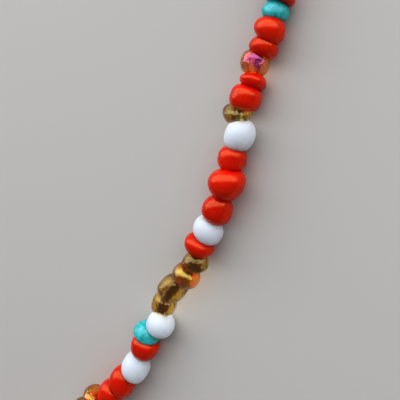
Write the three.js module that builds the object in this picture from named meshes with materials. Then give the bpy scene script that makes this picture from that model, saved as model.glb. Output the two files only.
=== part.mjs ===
// A seed bead necklace: one strand of drilled glass beads in mixed colours, closed at the nape by a barrel
// clasp, lying flat as a whole loop. Units are millimetres and +Z is up. The origin is on the surface that
// the necklace lies on, under the middle of the loop, and +Y points from there to the clasp.
//
// The 25 beads of the right side are single pieces on a thread. The rest of the strand is two bead strings,
// each one body, whose beads repeat the same kinds and sizes in another order.
import * as THREE from "three";

const degrees = THREE.MathUtils.degToRad;
const UP = new THREE.Vector3(0, 0, 1);
const LATHE_AXIS = new THREE.Vector3(0, 1, 0);

// The loop: three arcs from the clasp down to the middle of the front, and their mirror image.
const SIDE_RADIUS = 104;
const FRONT_RADIUS = 40;
const BACK_TURN = degrees(90);
const SIDE_TURN = degrees(55);
const FRONT_TURN = degrees(35);
// The back arc has the radius that brings the three arcs to the middle line at the front
const SIDE_END_WIDTH = Math.sin(BACK_TURN + SIDE_TURN);
const BACK_RADIUS = SIDE_RADIUS * (1 - SIDE_END_WIDTH) + FRONT_RADIUS * SIDE_END_WIDTH;
const ARCS = [
  { radius: BACK_RADIUS, turn: BACK_TURN },
  { radius: SIDE_RADIUS, turn: SIDE_TURN },
  { radius: FRONT_RADIUS, turn: FRONT_TURN },
];
const HALF_LENGTH = ARCS.reduce((sum, arc) => sum + arc.radius * arc.turn, 0);
const LOOP_LENGTH = 2 * HALF_LENGTH;
const LOOP_HEIGHT =
  BACK_RADIUS + FRONT_RADIUS - (SIDE_RADIUS - FRONT_RADIUS) * Math.cos(BACK_TURN + SIDE_TURN);

// Beads, with shares of a bead's radius for widths and of half its length for places along the bore
const BORE_RADIUS = 0.75;
const SHOULDER_WIDTH = 0.68;
const SHOULDER_PLACE = 0.88;
const BAND_PLACE = 0.4;
const BEAD_SIDES = 12;

// Thread
const THREAD_RADIUS = 0.12;
const THREAD_SIDES = 8;
const THREAD_STEPS = 52;

// Bead strings
const STRING_SIDES = 10;
const STRING_GAP = 0.1; // between one bead and the next
const NECK_RADIUS = 0.45; // where two beads meet, as a share of the smaller bead's radius
const ORDER_STEP = 7; // each hidden bead copies the bead this many rows on in the table
const WANDER = 0.4; // hidden beads stray from the line by this share of what the table says
const EASE = 6; // distance over which a string comes back to the line from the last single bead
const SEAT_GAP = 0.3; // between pieces that meet end to end

// Clasp: a barrel with a tapered tip at each end
const CLASP_RADIUS = 2.2;
const CLASP_TIP_RADIUS = 0.9;
const CLASP_BODY = 9;
const CLASP_TAPER = 1.2;
const CLASP_LENGTH = 13;
const CLASP_SIDES = 20;

// The single beads, from the nape end down to the front. "along" is the place of the bead's middle from
// the first one, and "side" how far it strays outwards from the loop's line. "lean" turns the bore about
// the vertical and "tip" dips its front end, both in degrees. The last three are shares: how much wider
// the front end is than the middle, how far it is pushed outwards, and how much longer the outer side is.
const FIRST_BEAD = 127.5; // along the loop from the middle of the clasp
const COLUMNS = ["kind", "diameter", "length", "along", "side", "lean", "tip", "taper", "slant", "wedge"];
const BEADS = [
  ["red", 3.8, 1.9, 0.0, 1.1, -5, -15, 0.3, -0.1, 0],
  ["turquoise", 3.2, 1.7, 2.0, 0.8, -5, -10, 0.2, 0, 0],
  ["red", 3.9, 2.4, 4.1, 0.5, -5, -15, 0, 0.1, 0.2],
  ["red", 3.6, 1.5, 6.3, 0.1, -5, -10, 0, -0.1, 0],
  ["amber", 3.6, 2.2, 8.2, -0.6, 0, -5, 0, 0.1, -0.1],
  ["red", 3.4, 1.6, 10.3, -0.4, 0, 0, 0.1, 0, 0.1],
  ["red", 4.0, 2.6, 12.5, -0.7, 0, 0, 0, 0, 0],
  ["topaz", 3.7, 1.9, 14.9, -1.2, 5, 5, 0.1, 0, -0.3],
  ["white", 3.8, 2.9, 17.4, -0.2, 0, 5, 0, -0.1, 0],
  ["red", 3.7, 2.4, 20.2, -0.3, 5, 0, 0, 0, 0],
  ["red", 4.7, 3.4, 23.4, 0.2, -5, 10, 0, -0.1, 0.2],
  ["red", 4.0, 3.1, 26.9, 0.2, 0, 0, 0.1, 0, 0.1],
  ["white", 4.1, 2.7, 30.2, 0.1, -5, 10, 0, 0.1, 0],
  ["red", 4.1, 2.1, 32.7, -0.2, -5, 5, -0.1, 0, 0],
  ["topaz", 4.2, 2.3, 35.3, 0.0, 15, 0, 0.1, -0.2, -0.1],
  ["amber", 3.6, 1.6, 37.8, -0.1, 10, 0, -0.1, 0, 0],
  ["topaz", 3.8, 2.6, 40.4, -0.9, 0, -10, 0, -0.1, 0],
  ["topaz", 3.5, 2.3, 43.2, -0.9, 5, 0, 0, 0, -0.1],
  ["white", 4.0, 2.7, 45.9, 0.3, 0, 0, 0, 0, -0.1],
  ["turquoise", 3.9, 1.4, 48.4, -0.7, 0, 10, 0.1, 0, 0],
  ["red", 4.0, 2.7, 50.6, 0.2, 5, 5, -0.1, 0, 0],
  ["white", 4.1, 3.4, 54.1, 0.9, 0, -10, 0, 0.1, 0],
  ["red", 4.1, 3.0, 57.6, 0.7, 0, -15, 0, 0.2, 0],
  ["red", 3.9, 3.2, 61.1, 0.5, -5, 5, -0.1, 0.1, 0.1],
  ["amber", 4.3, 1.5, 63.6, -0.5, 5, 0, 0, 0, 0],
].map((row) => Object.fromEntries(row.map((value, column) => [COLUMNS[column], value])));

const FINISHES = {
  red: { color: 0xe0301a, roughness: 0.3 },
  white: { color: 0xeef0f2, roughness: 0.25 },
  turquoise: { color: 0x2fb0a8, roughness: 0.55 },
  topaz: { color: 0x9a6a22, roughness: 0.1 },
  amber: { color: 0xd8701c, roughness: 0.12 },
  thread: { color: 0xd8d2c4, roughness: 0.8 },
  clasp: { color: 0xc8a050, roughness: 0.3, metalness: 1 },
};

function finish(name) {
  return new THREE.MeshStandardMaterial(FINISHES[name]);
}

// A place on the right half of the loop: its point, the direction away from the clasp, and outwards
function halfPlace(distance) {
  const start = new THREE.Vector3(0, LOOP_HEIGHT / 2, 0);
  let heading = 0;
  let left = distance;
  for (const [index, arc] of ARCS.entries()) {
    const isLast = index === ARCS.length - 1;
    const turned = isLast ? left / arc.radius : Math.min(left / arc.radius, arc.turn);
    const centre = start.clone().addScaledVector(outwards(heading), -arc.radius);
    start.copy(centre).addScaledVector(outwards(heading + turned), arc.radius);
    heading += turned;
    left -= turned * arc.radius;
    if (left <= 0) break;
  }
  const along = new THREE.Vector3(Math.cos(heading), -Math.sin(heading), 0);
  return { point: start, along, outward: outwards(heading) };
}

function outwards(heading) {
  return new THREE.Vector3(Math.sin(heading), Math.cos(heading), 0);
}

// A place on the whole loop, by its distance from the clasp's middle, clockwise seen from above
function placeAt(distance) {
  if (distance <= HALF_LENGTH) return halfPlace(distance);
  const { point, along, outward } = halfPlace(LOOP_LENGTH - distance);
  point.x *= -1;
  outward.x *= -1;
  along.y *= -1;
  return { point, along, outward };
}

// One drilled bead round the Y axis, with a band of full width and shoulders that round off to the bore,
// then tapered, wedged and slanted, with X as its outer side
function beadGeometry({ diameter, length, taper, slant, wedge }) {
  const radius = diameter / 2;
  const end = length / 2;
  const outside = [
    new THREE.Vector2(radius, end * BAND_PLACE),
    new THREE.Vector2(radius * SHOULDER_WIDTH, end * SHOULDER_PLACE),
    new THREE.Vector2(BORE_RADIUS, end),
  ];
  const mirrored = outside.toReversed().map(({ x, y }) => new THREE.Vector2(x, -y));
  const geometry = new THREE.LatheGeometry([...mirrored, ...outside, mirrored[0]], BEAD_SIDES);
  const corners = geometry.getAttribute("position");
  for (let index = 0; index < corners.count; index += 1) {
    const corner = new THREE.Vector3().fromBufferAttribute(corners, index);
    const width = 1 + (taper * corner.y) / end;
    corner.multiply(new THREE.Vector3(width, 1, width));
    corner.y *= 1 + (wedge * corner.x) / radius;
    corner.x += slant * corner.y;
    corners.setXYZ(index, corner.x, corner.y, corner.z);
  }
  geometry.computeVertexNormals();
  return geometry;
}

// The strand bends from bead to bead, and a bore points halfway between that and the loop's line before it
// leans and tips. X turns to the bead's outer side and Y to its bore.
function beadTurn(index, points) {
  const before = points[Math.max(index - 1, 0)];
  const after = points[Math.min(index + 1, points.length - 1)];
  const bent = after.clone().sub(before).normalize();
  const { along, lean, tip } = BEADS[index];
  const bore = placeAt(FIRST_BEAD + along).along.add(bent).normalize();
  bore.applyAxisAngle(UP, degrees(lean));
  const outward = UP.clone().cross(bore);
  bore.applyAxisAngle(outward, degrees(tip));
  const axes = new THREE.Matrix4().makeBasis(outward, bore, outward.clone().cross(bore));
  return new THREE.Quaternion().setFromRotationMatrix(axes);
}

// The single beads, each with its lowest corner on the surface, and the thread through them
function singleBeads() {
  const group = new THREE.Group();
  const points = BEADS.map(({ along, side }) => {
    const { point, outward } = placeAt(FIRST_BEAD + along);
    return point.addScaledVector(outward, side);
  });
  const bores = BEADS.map((bead, index) => {
    const mesh = new THREE.Mesh(beadGeometry(bead), finish(bead.kind));
    mesh.name = `bead_${String(index + 1).padStart(2, "0")}_${bead.kind}`;
    mesh.quaternion.copy(beadTurn(index, points));
    const turned = mesh.geometry.clone().applyQuaternion(mesh.quaternion);
    turned.computeBoundingBox();
    mesh.position.copy(points[index]).addScaledVector(UP, -turned.boundingBox.min.z);
    mesh.updateMatrix();
    group.add(mesh);
    const end = bead.length / 2;
    const mouth = (way) => new THREE.Vector3(way * bead.slant * end, way * end, 0);
    return { entry: mouth(-1).applyMatrix4(mesh.matrix), exit: mouth(1).applyMatrix4(mesh.matrix) };
  });
  group.add(threadThrough(bores));
  return group;
}

// The thread crosses from bore to bore halfway between their mouths, and ends where the bead strings begin
function threadThrough(bores) {
  const crossings = bores.slice(1).map((bore, index) => bore.entry.clone().lerp(bores[index].exit, 0.5));
  const route = new THREE.CatmullRomCurve3([bores[0].entry, ...crossings, bores[bores.length - 1].exit]);
  const section = new THREE.Shape();
  for (let side = 0; side < THREAD_SIDES; side += 1) {
    const angle = (2 * Math.PI * side) / THREAD_SIDES;
    const corner = [THREAD_RADIUS * Math.cos(angle), THREAD_RADIUS * Math.sin(angle)];
    if (side === 0) section.moveTo(...corner);
    else section.lineTo(...corner);
  }
  const geometry = new THREE.ExtrudeGeometry(section, { steps: THREAD_STEPS, extrudePath: route });
  const mesh = new THREE.Mesh(geometry, finish("thread"));
  mesh.name = "thread";
  return mesh;
}

// The beads of a string from one distance to another, stretched by a hair so that they fill it exactly
function stringBeads(from, to) {
  const beads = [];
  let filled = 0;
  for (let index = 0; filled < to - from; index += 1) {
    const bead = BEADS[(index * ORDER_STEP) % BEADS.length];
    beads.push(bead);
    filled += bead.length + STRING_GAP;
  }
  const stretch = (to - from) / filled;
  let distance = from;
  return beads.map((bead) => {
    const share = (bead.length + STRING_GAP) * stretch;
    distance += share;
    return { ...bead, length: share, middle: distance - share / 2 };
  });
}

// A bead string is one loft: each bead has two rings of its full width, and a narrow ring joins it to the
// next
function beadString(name, from, to, neighbour) {
  const beads = stringBeads(from, to);
  const rings = [];
  const colours = [];
  const sideOf = (bead) => {
    const away = Math.abs(bead.middle - neighbour.middle);
    return WANDER * bead.side + neighbour.side * Math.exp(-away / EASE);
  };
  const addRing = (distance, side, height, radius, kind) => {
    const { point, outward } = placeAt(distance);
    const centre = point.addScaledVector(outward, side).addScaledVector(UP, height);
    rings.push({ centre, outward, radius });
    colours.push(new THREE.Color(FINISHES[kind].color));
  };
  beads.forEach((bead, index) => {
    const before = beads[Math.max(index - 1, 0)];
    const radius = bead.diameter / 2;
    const joint = (radius + before.diameter / 2) / 2;
    const neck = NECK_RADIUS * Math.min(radius, before.diameter / 2);
    const start = bead.middle - bead.length / 2;
    const band = (bead.length * BAND_PLACE) / 2;
    addRing(start, (sideOf(bead) + sideOf(before)) / 2, joint, neck, bead.kind);
    addRing(bead.middle - band, sideOf(bead), radius, radius, bead.kind);
    addRing(bead.middle + band, sideOf(bead), radius, radius, bead.kind);
  });
  const last = beads[beads.length - 1];
  addRing(to, sideOf(last), last.diameter / 2, (NECK_RADIUS * last.diameter) / 2, last.kind);
  const mesh = new THREE.Mesh(
    loftGeometry(rings, colours),
    new THREE.MeshStandardMaterial({ vertexColors: true, roughness: 0.3 }),
  );
  mesh.name = name;
  return mesh;
}

// A closed skin over rings of equal count, capped at both ends
function loftGeometry(rings, colours) {
  const corners = [];
  for (const { centre, outward, radius } of rings) {
    for (let side = 0; side < STRING_SIDES; side += 1) {
      const angle = (2 * Math.PI * side) / STRING_SIDES - Math.PI / 2;
      const corner = centre.clone().addScaledVector(outward, radius * Math.cos(angle));
      corners.push(corner.addScaledVector(UP, radius * Math.sin(angle)));
    }
  }
  const end = rings.length - 1;
  const firstCap = corners.push(rings[0].centre.clone()) - 1;
  const lastCap = corners.push(rings[end].centre.clone()) - 1;
  const faces = [];
  const shades = [];
  const addFace = (ring, ...face) => {
    faces.push(...face);
    shades.push(colours[ring]);
  };
  const corner = (ring, side) => ring * STRING_SIDES + (side % STRING_SIDES);
  for (let side = 0; side < STRING_SIDES; side += 1) {
    addFace(0, firstCap, corner(0, side + 1), corner(0, side));
    addFace(end, lastCap, corner(end, side), corner(end, side + 1));
    for (let ring = 0; ring < end; ring += 1) {
      addFace(ring, corner(ring, side), corner(ring + 1, side + 1), corner(ring + 1, side));
      addFace(ring, corner(ring, side), corner(ring, side + 1), corner(ring + 1, side + 1));
    }
  }
  const positions = faces.flatMap((index) => corners[index].toArray());
  const tints = shades.flatMap((shade) => [shade, shade, shade].flatMap((each) => each.toArray()));
  const geometry = new THREE.BufferGeometry();
  geometry.setAttribute("position", new THREE.Float32BufferAttribute(positions, 3));
  geometry.setAttribute("color", new THREE.Float32BufferAttribute(tints, 3));
  geometry.computeVertexNormals();
  return geometry;
}

function claspPiece() {
  const tip = CLASP_LENGTH / 2;
  const body = CLASP_BODY / 2;
  const profile = [
    new THREE.Vector2(0, -tip),
    new THREE.Vector2(CLASP_TIP_RADIUS, -tip),
    new THREE.Vector2(CLASP_TIP_RADIUS, -body - CLASP_TAPER),
    new THREE.Vector2(CLASP_RADIUS, -body),
    new THREE.Vector2(CLASP_RADIUS, body),
    new THREE.Vector2(CLASP_TIP_RADIUS, body + CLASP_TAPER),
    new THREE.Vector2(CLASP_TIP_RADIUS, tip),
    new THREE.Vector2(0, tip),
  ];
  const mesh = new THREE.Mesh(new THREE.LatheGeometry(profile, CLASP_SIDES), finish("clasp"));
  mesh.name = "clasp";
  const { point, along } = placeAt(0);
  mesh.position.copy(point).addScaledVector(UP, CLASP_RADIUS);
  mesh.quaternion.setFromUnitVectors(LATHE_AXIS, along);
  return mesh;
}

// The strings run from the clasp's tips to the outer faces of the first and last single beads
const claspEnd = CLASP_LENGTH / 2 + SEAT_GAP;
const firstSingle = { ...BEADS[0], middle: FIRST_BEAD };
const lastSingle = { ...BEADS[BEADS.length - 1], middle: FIRST_BEAD + BEADS[BEADS.length - 1].along };
const rightEnd = firstSingle.middle - firstSingle.length / 2 - SEAT_GAP;
const leftStart = lastSingle.middle + lastSingle.length / 2 + SEAT_GAP;

const necklace = new THREE.Group();
necklace.add(claspPiece());
necklace.add(beadString("bead_string_right", claspEnd, rightEnd, firstSingle));
necklace.add(singleBeads());
necklace.add(beadString("bead_string_left", leftStart, LOOP_LENGTH - claspEnd, lastSingle));

export default necklace;
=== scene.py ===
import math
import random
from collections import namedtuple

import bpy
from mathutils import Matrix, Vector, noise


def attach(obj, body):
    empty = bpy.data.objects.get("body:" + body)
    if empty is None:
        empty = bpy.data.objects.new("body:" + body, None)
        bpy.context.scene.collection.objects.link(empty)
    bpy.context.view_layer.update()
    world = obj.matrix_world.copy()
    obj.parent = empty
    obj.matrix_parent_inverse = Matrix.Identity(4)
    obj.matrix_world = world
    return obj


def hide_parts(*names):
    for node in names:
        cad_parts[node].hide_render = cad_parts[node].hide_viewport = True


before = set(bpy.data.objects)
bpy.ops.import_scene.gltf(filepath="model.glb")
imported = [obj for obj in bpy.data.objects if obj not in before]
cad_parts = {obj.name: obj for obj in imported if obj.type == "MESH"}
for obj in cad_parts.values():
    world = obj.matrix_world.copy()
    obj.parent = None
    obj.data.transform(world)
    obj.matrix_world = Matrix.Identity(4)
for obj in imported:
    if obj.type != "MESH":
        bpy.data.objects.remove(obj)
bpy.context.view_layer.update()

MM = 0.001
UP = Vector((0, 0, 1))

# The loop's line: three arcs from the clasp to the middle of the front, and their mirror image. The back
# arc's radius and the loop's height follow from a front arc that ends on the middle line.
SIDE_RADIUS = 104
FRONT_RADIUS = 40
BACK_TURN = math.radians(90)
SIDE_TURN = math.radians(55)
FRONT_TURN = math.radians(35)
SIDE_END_SINE = math.sin(BACK_TURN + SIDE_TURN)
BACK_RADIUS = SIDE_RADIUS * (1 - SIDE_END_SINE) + FRONT_RADIUS * SIDE_END_SINE
ARCS = ((BACK_RADIUS, BACK_TURN), (SIDE_RADIUS, SIDE_TURN), (FRONT_RADIUS, FRONT_TURN))
HALF_LENGTH = sum(radius * turn for radius, turn in ARCS)
LOOP_LENGTH = 2 * HALF_LENGTH
LOOP_HEIGHT = BACK_RADIUS + FRONT_RADIUS - (SIDE_RADIUS - FRONT_RADIUS) * math.cos(BACK_TURN + SIDE_TURN)

# The single beads from the nape end down to the front. Their fields, in order:
# kind, diameter and length
# along: from the first bead's middle to this one's, along the loop's line
# side: how far the bead strays outwards from that line
# lean: how far its bore turns about the vertical, in degrees
# tip: how far the bore's front end dips, in degrees
# taper: how much wider the front end is than the middle, as a share
# slant: how far the front end is pushed outwards, as a share of its distance from the middle
# wedge: how much longer the outer side is than the middle, as a share
# square: how square the outside is from mouth to mouth. 2 is a round section, less is a ridge.
Bead = namedtuple("Bead", "kind diameter length along side lean tip taper slant wedge square")
BEADS = (
    Bead("red", 3.8, 1.9, 0.0, 1.1, -5, -15, 0.3, -0.1, 0, 2.4),
    Bead("turquoise", 3.2, 2.2, 1.8, 0.8, -5, 5, 0.2, 0, 0, 2.1),
    Bead("red", 3.9, 2.7, 4.0, 0.5, -5, 5, 0, 0.1, 0.2, 2.0),
    Bead("red", 3.6, 1.6, 6.3, 0.1, -5, -15, 0, -0.1, 0, 2.4),
    Bead("amber", 3.6, 2.2, 8.2, -0.6, 0, -5, 0, 0.1, -0.1, 2.4),
    Bead("red", 3.4, 1.6, 10.3, -0.4, 0, -15, 0.1, 0, 0.1, 1.7),
    Bead("red", 4.0, 2.6, 12.5, -0.7, 0, 0, 0, 0, 0, 2.6),
    Bead("topaz", 3.8, 1.8, 14.6, -1.3, 5, 25, -0.1, 0, -0.1, 2.4),
    Bead("white", 3.9, 3.5, 17.1, -0.2, 0, 10, 0, -0.1, 0, 2.1),
    Bead("red", 3.7, 2.4, 20.2, -0.3, 5, 0, 0, 0, 0, 2.5),
    Bead("red", 4.7, 3.4, 23.4, 0.2, -5, 10, 0, -0.1, 0.2, 2.1),
    Bead("red", 4.0, 3.1, 26.9, 0.2, 0, 10, 0.1, 0, 0.1, 2.1),
    Bead("white", 4.1, 2.7, 30.2, 0.1, -5, 10, 0, 0.1, 0, 2.2),
    Bead("red", 4.1, 2.1, 32.7, -0.2, -5, 5, -0.1, 0, 0, 2.2),
    Bead("topaz", 3.6, 2.1, 35.1, 0.3, 15, 5, 0.1, -0.1, -0.1, 2.2),
    Bead("amber", 3.9, 2.1, 37.3, 0.0, 0, 15, 0, 0, 0, 2.2),
    Bead("topaz", 3.8, 2.6, 40.4, -0.9, 0, -10, 0, -0.1, 0, 2.8),
    Bead("topaz", 3.5, 2.3, 43.2, -0.9, 5, 0, 0, 0, -0.1, 2.4),
    Bead("white", 4.0, 2.7, 45.9, 0.3, 0, 0, 0, 0, -0.1, 2.2),
    Bead("turquoise", 3.9, 1.4, 48.4, -0.7, 0, 10, 0.1, 0, 0, 2.4),
    Bead("red", 4.0, 2.7, 50.6, 0.2, 5, 5, -0.1, 0, 0, 2.4),
    Bead("white", 4.1, 3.4, 54.1, 0.9, 0, -10, 0, 0.1, 0, 2.3),
    Bead("red", 4.1, 3.0, 57.6, 0.7, 0, -15, 0, 0.2, 0, 2.4),
    Bead("red", 3.9, 3.2, 61.1, 0.5, -5, 5, -0.1, 0.1, 0.1, 2.4),
    Bead("amber", 4.3, 1.5, 63.6, -0.5, 5, 0, 0, 0, 0, 2.4),
)
KINDS = ("red", "white", "turquoise", "topaz", "amber")
CLEAR_KINDS = ("topaz", "amber")
ROSE_BEAD = 4  # the amber bead with the thicker film, counted from 0
FIRST_BEAD = 127.5  # the first bead's place on the loop's line, clockwise from the clasp's middle
SINGLE_SEED = 11

# Bead shape
OPAQUE_BORE, CLEAR_BORE = 0.35, 0.4  # radii
MOUTH_ROUNDING = 0.12
MOUTH_ANGLES = (math.radians(40), math.radians(90))  # steps of that rounding, from its rim to the bore
LINING_OUTSIDE, LINING_INSIDE = 0.12, -0.02  # measured outwards from the bore's wall
LINING_STEPS = 6
OVERLAP = 0.16  # how far a bead's end reaches past the middle of the gap to its neighbour
FINE = (48, 26)  # points round a bead and steps from mouth to mouth
COARSE = (24, 12)
UNEVEN = 0.02  # bumps and dents, as a share of the radius
UNEVEN_SIZE = 2.2  # about how far apart they are
NOISE_ROOM = 99  # how far apart two beads' places in the noise may be, each way

# Hidden strings: they take every seventh bead of the table in turn, some with a length of their own
ORDER_STEP = 7
STRING_LENGTHS = {1: 1.7, 2: 2.4, 3: 1.5, 7: 1.9, 8: 2.9, 14: 2.3, 15: 1.6}  # by place in the table, from 0
STRING_GAP = 0.1  # between two beads
STRING_SHRINK = 0.95  # of the diameter
STRING_TILT = 3  # the spread of leaning and of tipping, in degrees
STRING_TAPER = 0.1  # the most either way
STRING_SEED = 23
WANDER = 0.4  # the share that is left of a bead's stray to the side
EASE = 6  # about how soon a string leaves the stray of the single bead next to it
SEAT_GAP = 0.3  # from a string to the clasp's tip and to the single bead

THREAD_RADIUS = 0.12
THREAD_SIDES = 8

# Clasp: half its outline from the tip to the seam, as distances from the middle and radii
CLASP_LENGTH = 13
CLASP_RADIUS = 2.2
CLASP_HALF = (
    (CLASP_LENGTH / 2, 0.63),
    (6.25, 0.9),
    (5, 0.9),
    (4.8, 1.98),
    (4.5, CLASP_RADIUS),
    (0.25, CLASP_RADIUS),
    (0.12, 2),
)
CLASP_SIDES = 40

# Camera. Angles are in degrees.
VIEW_CENTRE = Vector((90.4, -45.9, 1.9))  # from the side arc's centre to the middle of the view
VIEW_DISTANCE = 72.1
VIEW_LEAN_OUT = 27.6  # from straight above, away from the loop's middle
VIEW_LEAN_BACK = 5.5  # from straight above, towards the nape
VIEW_ROLL = -1.3
CLIP_START = 1
PHOTO_WIDTH = 400
FOCAL_PIXELS = 550
SENSOR = 36

# Light: a wide window at the far side and dim light from all round. Angles are in degrees.
WINDOW_TARGET = Vector((52, -40, 0))  # about the middle of the single beads
WINDOW_DISTANCE = 500
WINDOW_TURN = -2  # to the left of straight beyond the target
WINDOW_LIFT = 38  # above the floor
WINDOW_WIDTH = 3600
WINDOW_HEIGHT = 580
WINDOW_LIGHT = 1.8
WINDOW_COLOUR = "#EAF3FF"
ROOM_LIGHT = 0.22
ROOM_COLOUR = "#E8EEF5"

FLOOR_REACH = 1500


# The loop's line
def outwards(heading):
    """The level way out of the loop, for a heading turned clockwise from the nape."""
    return Vector((math.sin(heading), math.cos(heading), 0))


def half_place(distance):
    """A place on the right half of the loop: its point, the way on from the clasp, and outwards."""
    point = Vector((0, LOOP_HEIGHT / 2, 0))
    heading = 0
    remaining = distance
    for radius, turn in ARCS:
        turned = min(remaining / radius, turn)
        point = point - radius * outwards(heading) + radius * outwards(heading + turned)
        heading += turned
        remaining -= turned * radius
        if remaining <= 0:
            break
    return point, Vector((math.cos(heading), -math.sin(heading), 0)), outwards(heading)


def place_at(distance):
    """A place on the whole loop, clockwise from the clasp's middle."""
    if distance <= HALF_LENGTH:
        return half_place(distance)
    point, along, outward = half_place(LOOP_LENGTH - distance)
    return (
        Vector((-point.x, point.y, 0)),
        Vector((along.x, -along.y, 0)),
        Vector((-outward.x, outward.y, 0)),
    )


def way_past(points, index):
    """The way from the point before this one to the point after it."""
    return points[min(index + 1, len(points) - 1)] - points[max(index - 1, 0)]


# Meshes
def new_mesh(name, points, faces, material):
    """A mesh from points in millimetres."""
    mesh = bpy.data.meshes.new(name)
    mesh.from_pydata([point * MM for point in points], [], faces)
    mesh.materials.append(material)
    return mesh


def add_object(name, data):
    added = bpy.data.objects.new(name, data)
    bpy.context.scene.collection.objects.link(added)
    return added


def new_piece(name, points, faces, material):
    """A smooth piece that rides on the root body."""
    mesh = new_mesh(name, points, faces, material)
    mesh.polygons.foreach_set("use_smooth", [True] * len(mesh.polygons))
    piece = add_object(name, mesh)
    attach(piece, "root")
    return piece


def ring_faces(rings, sides, closed=True):
    """Quads between neighbouring rings of points, with the last ring joined to the first if closed."""
    faces = []
    for ring in range(rings if closed else rings - 1):
        here = ring * sides
        there = (ring + 1) % rings * sides
        for side in range(sides):
            following = (side + 1) % sides
            faces.append((here + side, here + following, there + following, there + side))
    return faces


def capped_faces(rings, sides):
    """Quads between neighbouring rings of points, and a flat face over each end."""
    last = (rings - 1) * sides
    ends = [tuple(reversed(range(sides))), tuple(range(last, last + sides))]
    return ring_faces(rings, sides, closed=False) + ends


def tube(points, radius, sides):
    """Points and faces of a round tube with closed ends along a nearly level path."""
    rings = []
    for index, point in enumerate(points):
        ahead = way_past(points, index)
        side_way = ahead.cross(UP).normalized()
        rise = side_way.cross(ahead).normalized()
        for side in range(sides):
            turn = 2 * math.pi * side / sides
            rings.append(point + radius * (math.cos(turn) * side_way + math.sin(turn) * rise))
    return rings, [tuple(reversed(face)) for face in capped_faces(len(points), sides)]


# Beads
def power(value, exponent):
    """A power of the value's size, with the value's sign."""
    return math.copysign(abs(value) ** exponent, value)


def bead_profile(bead, start, end, steps):
    """A bead's section as radii and heights: outside from mouth to mouth, then back through the bore."""
    radius = bead.diameter / 2
    mouth = (CLEAR_BORE if bead.kind in CLEAR_KINDS else OPAQUE_BORE) + MOUTH_ROUNDING
    middle, half = (start + end) / 2, (end - start) / 2
    exponent = 2 / bead.square
    profile = []
    for step in range(steps + 1):
        angle = math.pi * (step / steps - 0.5)
        across = power(math.cos(angle), exponent)
        height = middle + half * power(math.sin(angle), exponent)
        profile.append((mouth + (radius - mouth) * across, height))
    rounding = [
        (mouth - MOUTH_ROUNDING * math.sin(angle), MOUTH_ROUNDING * (1 - math.cos(angle)))
        for angle in MOUTH_ANGLES
    ]
    profile += [(width, end - depth) for width, depth in rounding]
    profile += [(width, start + depth) for width, depth in reversed(rounding)]
    return profile


def lining_profile(start, end):
    """The section of a thin sleeve that covers the wall of a clear bead's bore."""
    outer, inner = CLEAR_BORE + LINING_OUTSIDE, CLEAR_BORE + LINING_INSIDE
    first, last = start + MOUTH_ROUNDING, end - MOUTH_ROUNDING
    heights = [first + (last - first) * step / LINING_STEPS for step in range(LINING_STEPS + 1)]
    return [(outer, height) for height in heights] + [(inner, height) for height in reversed(heights)]


def bead_points(bead, profile, sides, noise_place):
    """Rings of points round the Z axis, with X as the bead's outer side."""
    radius = bead.diameter / 2
    points = []
    for ring_radius, height in profile:
        width = ring_radius * (1 + bead.taper * height / (bead.length / 2))
        for side in range(sides):
            turn = 2 * math.pi * side / sides
            point = Vector((width * math.cos(turn), width * math.sin(turn), height))
            point.z *= 1 + bead.wedge * point.x / radius
            point.x += bead.slant * point.z
            dent = noise.noise((point + noise_place) / UNEVEN_SIZE) * UNEVEN * radius
            points.append(point + dent * point.normalized())
    return points


def bead_axes(bore, lean, tip):
    """Outwards, upwards and the bore as columns, for a level bore that then leans and tips."""
    bore = Matrix.Rotation(math.radians(lean), 3, "Z") @ bore
    outward = UP.cross(bore)
    bore = Matrix.Rotation(math.radians(tip), 3, outward) @ bore
    return Matrix((outward, bore.cross(outward), bore)).transposed()


def draw_noise_place(draw):
    """A place in the noise, which gives each bead bumps and dents of its own."""
    return Vector([draw.uniform(0, NOISE_ROOM) for _ in range(3)])


def lay_bead(bead, spot, axes, noise_place, fineness, reaches=(0, 0)):
    """A bead that rests on the surface, with its two ends pushed out by the given reaches."""
    sides, steps = fineness
    start, end = -bead.length / 2 - reaches[0], bead.length / 2 + reaches[1]
    profile = bead_profile(bead, start, end, steps)
    points = [spot + axes @ point for point in bead_points(bead, profile, sides, noise_place)]
    rise = -min(point.z for point in points) * UP
    seat = spot + rise
    laid = {
        "kind": bead.kind,
        "mouths": [seat + axes @ Vector((bead.slant * height, 0, height)) for height in (start, end)],
        "glass": ([point + rise for point in points], ring_faces(len(profile), sides)),
    }
    if bead.kind in CLEAR_KINDS:
        sleeve = lining_profile(start, end)
        sleeve_points = [seat + axes @ point for point in bead_points(bead, sleeve, sides, noise_place)]
        laid["lining"] = (sleeve_points, ring_faces(len(sleeve), sides))
    return laid


def lay_strand(places):
    """All beads of the strand, laid once to find the gaps, and again with ends that close them."""
    loose = [lay_bead(*place[:-1], COARSE) for place in places]
    gaps = []
    for here, there in zip(loose, loose[1:]):
        onwards = (there["mouths"][1] - here["mouths"][0]).normalized()
        gaps.append((there["mouths"][0] - here["mouths"][1]).dot(onwards))
    reaches = [gap / 2 + OVERLAP for gap in (0, *gaps, 0)]
    return [lay_bead(*place, (back, front)) for place, back, front in zip(places, reaches, reaches[1:])]


def single_places():
    """How the single beads lie.

    Each bore points halfway between the loop's line and the way past the bead's neighbours.
    """
    draw = random.Random(SINGLE_SEED)
    on_line = [place_at(FIRST_BEAD + bead.along) for bead in BEADS]
    spots = [point + bead.side * outward for bead, (point, _, outward) in zip(BEADS, on_line)]
    places = []
    for index, bead in enumerate(BEADS):
        _, along, _ = on_line[index]
        bore = (along + way_past(spots, index).normalized()).normalized()
        axes = bead_axes(bore, bead.lean, bead.tip)
        places.append((bead, spots[index], axes, draw_noise_place(draw), FINE))
    return places


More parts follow.
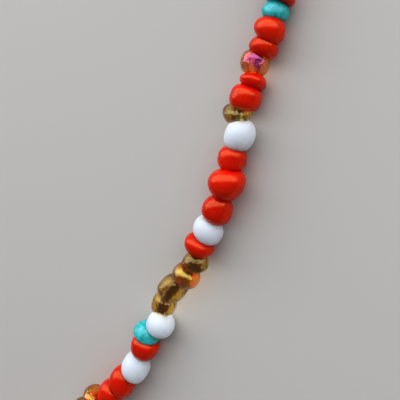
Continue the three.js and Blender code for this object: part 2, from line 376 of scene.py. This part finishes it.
def string_places(start, end, near_place, near_side):
    """How the beads of a hidden string lie, in the order of its solid, stretched to fill its length.

    The last two values are the place and the stray of the single bead next to the string.
    """
    draw = random.Random(STRING_SEED)
    chosen = []
    filled = 0
    while filled < end - start:
        index = len(chosen) * ORDER_STEP % len(BEADS)
        bead = BEADS[index]._replace(length=STRING_LENGTHS.get(index, BEADS[index].length))
        chosen.append(bead)
        filled += bead.length + STRING_GAP
    stretch = (end - start) / filled
    places = []
    distance = start
    for bead in chosen:
        share = (bead.length + STRING_GAP) * stretch
        middle = distance + share / 2
        distance += share
        point, along, outward = place_at(middle)
        stray = WANDER * bead.side + near_side * math.exp(-abs(middle - near_place) / EASE)
        axes = bead_axes(along, draw.gauss(0, STRING_TILT), draw.gauss(0, STRING_TILT))
        hidden = bead._replace(
            diameter=bead.diameter * STRING_SHRINK,
            length=share - STRING_GAP,
            taper=draw.uniform(-STRING_TAPER, STRING_TAPER),
            slant=0,
        )
        places.append((hidden, point + stray * outward, axes, draw_noise_place(draw), COARSE))
    return places


# Materials
def linear(hex_colour):
    """An sRGB hex colour as the linear colour that a shader takes, by the sRGB standard's curve."""
    channels = [int(hex_colour[place:place + 2], 16) / 255 for place in (1, 3, 5)]
    return tuple(c / 12.92 if c <= 0.04045 else ((c + 0.055) / 1.055) ** 2.4 for c in channels) + (1,)


def add_node(material, kind, settings=None, links=None, **values):
    """Adds a node, sets its own settings and its sockets' values, and links other nodes' outputs to it."""
    node = material.node_tree.nodes.new(kind)
    for name, value in (settings or {}).items():
        setattr(node, name, value)
    for name, value in values.items():
        node.inputs[name.replace("_", " ")].default_value = value
    for name, output in (links or {}).items():
        material.node_tree.links.new(output, node.inputs[name])
    return node


def new_material(name):
    material = bpy.data.materials.new(name)
    material.use_nodes = True
    material.node_tree.nodes.clear()
    return material


def finish_material(material, shader, volume=None):
    """Links the surface, and what fills the inside if it is given, to the material's output."""
    links = {"Surface": shader.outputs["BSDF"]}
    if volume:
        links["Volume"] = volume.outputs["Volume"]
    add_node(material, "ShaderNodeOutputMaterial", links=links)
    return material


def speckles(material, size):
    """Even noise with speckles of about the given size in millimetres."""
    place = add_node(material, "ShaderNodeTexCoord")
    noise_node = add_node(
        material, "ShaderNodeTexNoise", {"noise_dimensions": "3D"}, {"Vector": place.outputs["Object"]},
        Scale=1 / (size * MM), Detail=3.0, Roughness=0.55,
    )
    return noise_node.outputs["Fac"]


def mottled_colour(material, size, colours):
    """Colour in speckles, from hex colours and their places in the noise."""
    mottling = add_node(material, "ShaderNodeValToRGB", links={"Fac": speckles(material, size)})
    elements = mottling.color_ramp.elements
    for place, _ in colours[1:-1]:
        elements.new(place)
    for element, (place, colour) in zip(elements, colours):
        element.position = place
        element.color = linear(colour)
    return mottling.outputs["Color"]


def uneven_skin(material, size, depth, strength):
    """Small bumps and pits of about the given size and depth in millimetres."""
    skin = add_node(
        material, "ShaderNodeBump", links={"Height": speckles(material, size)},
        Distance=depth * MM, Strength=strength,
    )
    return skin.outputs["Normal"]


def opaque_glass(name, colours, blotch, pit_size, pit_depth, roughness, ior, glow, reach, shine="#FFFFFF"):
    """Opaque pressed glass: a pitted skin over a dense colour, with light that spreads a little inside.

    Glow is the share of that light, and reach how far its red, green and blue spread, in millimetres.
    Real pits are finer than they can show here, so they are drawn coarser.
    """
    material = new_material(name)
    colour = mottled_colour(material, blotch, colours)
    pits = uneven_skin(material, pit_size, pit_depth, strength=0.6)
    shader = add_node(
        material, "ShaderNodeBsdfPrincipled", links={"Base Color": colour, "Normal": pits},
        Roughness=roughness, IOR=ior, Specular_Tint=linear(shine),
        Subsurface_Weight=glow, Subsurface_Radius=reach, Subsurface_Scale=MM,
    )
    return finish_material(material, shader)


def clear_glass(name, colour, tint, density, film_thickness, film_ior):
    """Clear coloured glass with a wavy skin and a film on it, whose thickness is in nanometres.

    Tint and density, for each metre, colour the light on its way through, so the edges are bright, where
    that way is short, round a deep middle. The waves are drawn deeper than real ones, to break up the
    highlights as the photo shows.
    """
    material = new_material(name)
    waves = uneven_skin(material, size=1.0, depth=0.3, strength=0.9)
    shader = add_node(
        material, "ShaderNodeBsdfPrincipled", links={"Normal": waves},
        Base_Color=linear(colour), Roughness=0.03, IOR=1.52, Transmission_Weight=1.0,
        Thin_Film_Thickness=film_thickness, Thin_Film_IOR=film_ior,
    )
    inside = add_node(material, "ShaderNodeVolumeAbsorption", Color=linear(tint), Density=density)
    return finish_material(material, shader, inside)


def red_glass():
    """Opaque red-orange pressed glass: a deep red body under a broad soft shine."""
    return opaque_glass(
        "opaque_red_glass", ((0.3, "#CC1400"), (0.7, "#E42400")),
        blotch=2.6, pit_size=0.5, pit_depth=0.012,
        roughness=0.22, ior=1.8, glow=1.0, reach=(1.0, 0.1, 0.05), shine="#FFD090",
    )


def white_glass():
    """Opaque white glass: cool milky white with soft shade, because light spreads inside it."""
    return opaque_glass(
        "opaque_white_glass", ((0.3, "#DEE4EA"), (0.7, "#E6EAF0")),
        blotch=3.0, pit_size=0.6, pit_depth=0.008,
        roughness=0.5, ior=1.5, glow=1.0, reach=(6.0, 6.0, 6.0),
    )


def turquoise_glass():
    """Opaque turquoise glass with a dull skin: mottled, with darker specks."""
    return opaque_glass(
        "dull_turquoise_glass", ((0.3, "#14948E"), (0.45, "#28B0AC"), (0.7, "#46CCCC")),
        blotch=0.5, pit_size=0.3, pit_depth=0.02,
        roughness=0.42, ior=1.8, glow=0.05, reach=(0.2, 0.8, 0.8),
    )


def topaz_glass():
    """Clear gold glass under a thin film, which turns its highlights yellow."""
    return clear_glass(
        "clear_topaz_glass", "#F2E0AC", tint="#F4DE8E", density=580,
        film_thickness=262, film_ior=1.75,
    )


def amber_glass():
    """Clear orange glass under a thin metal-oxide film, which turns its highlights yellow."""
    return clear_glass(
        "gold_lustre_amber_glass", "#FFB438", tint="#FFD048", density=460,
        film_thickness=210, film_ior=2.08,
    )


def rose_amber_glass():
    """Clear orange glass under a thicker film, which turns its highlights pink and lilac."""
    return clear_glass(
        "rose_lustre_amber_glass", "#FFC858", tint="#FFDA58", density=440,
        film_thickness=250, film_ior=2.12,
    )


def dark_sleeve(name, colour):
    """A smooth dark skin with a bright shine, for the sleeves inside the clear beads' bores."""
    material = new_material(name)
    shader = add_node(
        material, "ShaderNodeBsdfPrincipled", Base_Color=linear(colour), Roughness=0.12, IOR=2.2,
    )
    return finish_material(material, shader)


def brown_lining():
    """A dark brown sleeve inside the bores of the topaz beads, which makes their middle dark seen through
    the glass.
    """
    return dark_sleeve("dark_brown_sleeve", "#480E0C")


def red_lining():
    """A dark red sleeve inside the bores of the amber beads, which makes their middle dark seen through the
    glass.
    """
    return dark_sleeve("dark_red_sleeve", "#80180C")


def nylon_thread():
    """Bonded nylon: off-white, with a dull sheen. Its plies are drawn coarser than real ones, to show."""
    material = new_material("nylon_thread")
    plies = uneven_skin(material, size=0.2, depth=0.02, strength=0.5)
    shader = add_node(
        material, "ShaderNodeBsdfPrincipled", links={"Normal": plies},
        Base_Color=linear("#DAD4C6"), Roughness=0.55,
    )
    return finish_material(material, shader)


def gold_brass():
    """Turned brass with a gold tone: a warm soft shine, dulled in spots by handling."""
    material = new_material("gold_tone_brass")
    colour = mottled_colour(material, size=1.5, colours=((0.35, "#B98F45"), (0.65, "#D6B063")))
    shader = add_node(
        material, "ShaderNodeBsdfPrincipled", links={"Base Color": colour},
        Metallic=1.0, Roughness=0.28,
    )
    return finish_material(material, shader)


def painted_board():
    """A board with pale matt paint: even and without a shine."""
    material = new_material("pale_board")
    shader = add_node(material, "ShaderNodeBsdfPrincipled", Base_Color=linear("#CAC2B8"), Roughness=0.9)
    return finish_material(material, shader)


GLASS = {
    "red": red_glass(),
    "white": white_glass(),
    "turquoise": turquoise_glass(),
    "topaz": topaz_glass(),
    "amber": amber_glass(),
}
ROSE_GLASS = rose_amber_glass()
LININGS = {"topaz": brown_lining(), "amber": red_lining()}


# Pieces
def add_beads(beads, name, node, glass):
    """One joined mesh of glass, and one of linings if the glass is clear, from beads of one kind.

    Dense clear glass would cast a nearly black shadow, so it casts none.
    """
    kind = beads[0]["kind"]
    clear = kind in CLEAR_KINDS
    parts = {"glass": glass}
    if clear:
        parts["lining"] = LININGS[kind]
    for part, material in parts.items():
        points, faces = [], []
        for bead in beads:
            own_points, own_faces = bead[part]
            faces += [tuple(len(points) + corner for corner in face) for face in own_faces]
            points += own_points
        piece = new_piece(f"{part}_{name}", points, faces, material)
        piece.visible_shadow = not clear
        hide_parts(node)


def add_single_beads(beads):
    for index, bead in enumerate(beads):
        kind = bead["kind"]
        name = f"bead_{index + 1:02d}_{kind}"
        add_beads([bead], name, name, ROSE_GLASS if index == ROSE_BEAD else GLASS[kind])


def add_string_beads(beads, side):
    for kind in KINDS:
        same = [bead for bead in beads if bead["kind"] == kind]
        add_beads(same, f"{side}_{kind}", f"bead_string_{side}", GLASS[kind])


def add_thread(beads):
    """The thread, from tip to tip of the clasp, crossing from bead to bead halfway between their bores."""
    tip = CLASP_LENGTH / 2
    start, end = (place_at(place)[0] + CLASP_RADIUS * UP for place in (tip, LOOP_LENGTH - tip))
    crossings = [(here["mouths"][1] + there["mouths"][0]) / 2 for here, there in zip(beads, beads[1:])]
    points, faces = tube([start, *crossings, end], THREAD_RADIUS, THREAD_SIDES)
    piece = new_piece("beading_thread", points, faces, nylon_thread())
    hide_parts("thread")


def add_clasp():
    """A turned barrel in two halves with a seam between them and a rounded tip at each end."""
    outline = [(-place, radius) for place, radius in CLASP_HALF]
    outline += reversed(CLASP_HALF)
    centre = place_at(0)[0] + CLASP_RADIUS * UP
    points = []
    for place, radius in outline:
        for side in range(CLASP_SIDES):
            turn = 2 * math.pi * side / CLASP_SIDES
            points.append(centre + Vector((place, radius * math.cos(turn), radius * math.sin(turn))))
    piece = new_piece("barrel_clasp", points, capped_faces(len(outline), CLASP_SIDES), gold_brass())
    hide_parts("clasp")


# Stage
def add_camera():
    """The photo's own view, close over the single beads."""
    arc_centre = Vector((BACK_RADIUS - SIDE_RADIUS, LOOP_HEIGHT / 2 - BACK_RADIUS, 0))
    turn = (
        Matrix.Rotation(math.radians(-VIEW_LEAN_BACK), 4, "X")
        @ Matrix.Rotation(math.radians(VIEW_LEAN_OUT), 4, "Y")
        @ Matrix.Rotation(math.radians(VIEW_ROLL), 4, "Z")
    )
    place = arc_centre + VIEW_CENTRE + VIEW_DISTANCE * (turn @ UP)
    data = bpy.data.cameras.new("camera")
    data.lens = FOCAL_PIXELS / PHOTO_WIDTH * SENSOR
    data.sensor_width = SENSOR
    data.clip_start = CLIP_START * MM
    camera = add_object("camera", data)
    camera.matrix_world = Matrix.Translation(place * MM) @ turn
    bpy.context.scene.camera = camera


def add_floor():
    """A plain pale floor, far wider than the loop."""
    corners = [FLOOR_REACH * Vector((x, y, 0)) for x, y in ((-1, -1), (1, -1), (1, 1), (-1, 1))]
    floor = add_object("floor", new_mesh("floor", corners, [(0, 1, 2, 3)], painted_board()))


def add_window():
    """A wide soft light that faces the single beads. Its power follows from its brightness and area."""
    data = bpy.data.lights.new("window", "AREA")
    data.shape = "RECTANGLE"
    data.size, data.size_y = WINDOW_WIDTH * MM, WINDOW_HEIGHT * MM
    data.energy = WINDOW_LIGHT * math.pi * data.size * data.size_y
    data.color = linear(WINDOW_COLOUR)[:3]
    level = Matrix.Rotation(math.radians(WINDOW_TURN), 3, "Z") @ Vector((0, 1, 0))
    lift = math.radians(WINDOW_LIFT)
    way = level * math.cos(lift) + UP * math.sin(lift)
    place = WINDOW_TARGET + way * WINDOW_DISTANCE
    light = add_object("window", data)
    light.matrix_world = Matrix.Translation(place * MM) @ way.to_track_quat("Z", "Y").to_matrix().to_4x4()


def add_room():
    """Dim even light from all round, and a print with some contrast."""
    world = bpy.data.worlds.new("dim_room")
    world.use_nodes = True
    background = world.node_tree.nodes["Background"]
    background.inputs["Color"].default_value = linear(ROOM_COLOUR)
    background.inputs["Strength"].default_value = ROOM_LIGHT
    scene = bpy.context.scene
    scene.world = world
    scene.view_settings.view_transform = "Standard"
    scene.view_settings.look = "High Contrast"


add_camera()
add_floor()
add_window()
add_room()

# The strand, clockwise from the clasp: the right hidden string, the single beads, the left hidden string
first_bead, last_bead = BEADS[0], BEADS[-1]
clasp_end = CLASP_LENGTH / 2 + SEAT_GAP
right_end = FIRST_BEAD - first_bead.length / 2 - SEAT_GAP
left_start = FIRST_BEAD + last_bead.along + last_bead.length / 2 + SEAT_GAP
right = string_places(clasp_end, right_end, FIRST_BEAD, first_bead.side)
left = string_places(left_start, LOOP_LENGTH - clasp_end, FIRST_BEAD + last_bead.along, last_bead.side)
strand = lay_strand([*right, *single_places(), *left])
left_index = len(right) + len(BEADS)
add_single_beads(strand[len(right):left_index])
add_string_beads(strand[:len(right)], "right")
add_string_beads(strand[left_index:], "left")
add_thread(strand)
add_clasp()
